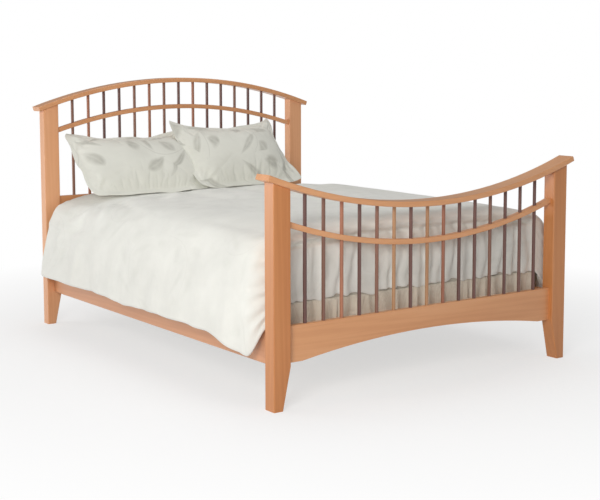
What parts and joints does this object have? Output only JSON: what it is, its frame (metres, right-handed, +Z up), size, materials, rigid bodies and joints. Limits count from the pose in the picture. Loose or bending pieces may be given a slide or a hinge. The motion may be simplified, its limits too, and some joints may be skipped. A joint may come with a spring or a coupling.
{
  "type": "dowel bed",
  "caption": "Queen-size dowel bed with curved cap rails, tapered posts and walnut dowels in both end panels, dressed with a draped duvet and flanged pillows.",
  "frame": {"origin": "on the floor under the middle of the bed", "axes": "+Z up, +Y from the footboard to the headboard, +X to the right as seen from the foot"},
  "size_m": [1.786, 2.228, 1.301],
  "materials": {
    "cherry": "satin oil",
    "walnut": "satin oil",
    "poplar": "planed, unfinished",
    "zinc_steel": "zinc plated",
    "box_spring_cloth": "woven",
    "skirt_cloth": "woven, gathered",
    "ticking": "knitted, quilted",
    "bed_linen": "cotton sateen, tonal leaf print",
    "pillow_linen": "cotton sateen, tonal leaf print"
  },
  "bodies": {
    "bed_frame": {"foot_post_left": "cherry", "foot_post_right": "cherry", "head_post_left": "cherry", "head_post_right": "cherry", "foot_cap": "cherry", "head_cap": "cherry", "foot_mid_rail": "cherry", "head_mid_rail": "cherry", "foot_bottom_rail": "cherry", "head_lower_rail": "cherry", "side_rail_left": "cherry", "side_rail_right": "cherry", "foot_dowel_01": "walnut", "foot_dowel_02": "walnut", "foot_dowel_03": "walnut", "foot_dowel_04": "walnut", "foot_dowel_05": "walnut", "foot_dowel_06": "walnut", "foot_dowel_07": "walnut", "foot_dowel_08": "walnut", "foot_dowel_09": "walnut", "foot_dowel_10": "walnut", "foot_dowel_11": "walnut", "foot_dowel_12": "walnut", "foot_dowel_13": "walnut", "foot_dowel_14": "walnut", "foot_dowel_15": "walnut", "head_dowel_01": "walnut", "head_dowel_02": "walnut", "head_dowel_03": "walnut", "head_dowel_04": "walnut", "head_dowel_05": "walnut", "head_dowel_06": "walnut", "head_dowel_07": "walnut", "head_dowel_08": "walnut", "head_dowel_09": "walnut", "head_dowel_10": "walnut", "head_dowel_11": "walnut", "head_dowel_12": "walnut", "head_dowel_13": "walnut", "head_dowel_14": "walnut", "head_dowel_15": "walnut", "ledger_left": "poplar", "ledger_right": "poplar", "centre_legs": "poplar", "slat_1": "poplar", "slat_2": "poplar", "slat_3": "poplar", "slat_4": "poplar", "slat_5": "poplar", "slat_6": "poplar", "hook_plates": "zinc_steel", "slot_plates": "zinc_steel", "wood_screws": "zinc_steel", "box_spring": "box_spring_cloth", "box_spring_skirt": "skirt_cloth"},
    "mattress": {"mattress": "ticking"},
    "duvet": {"duvet": "bed_linen"},
    "pillow_left": {"pillow_left": "pillow_linen"},
    "pillow_right": {"pillow_right": "pillow_linen"}
  },
  "joints": [
    {"name": "mattress_lift", "type": "slide", "parent": "bed_frame", "child": "mattress", "axis": [0, 0, 1], "range_m": [0, 0.4]},
    {"name": "duvet_lift", "type": "slide", "parent": "mattress", "child": "duvet", "axis": [0, 0, 1], "range_m": [0, 0.5]},
    {"name": "pillow_left_lift", "type": "slide", "parent": "duvet", "child": "pillow_left", "axis": [0, -0.68, 0.7332], "range_m": [0, 0.35]},
    {"name": "pillow_right_lift", "type": "slide", "parent": "pillow_left", "child": "pillow_right", "axis": [0.0767, -0.7628, 0.642], "range_m": [0, 0.35]}
  ]
}
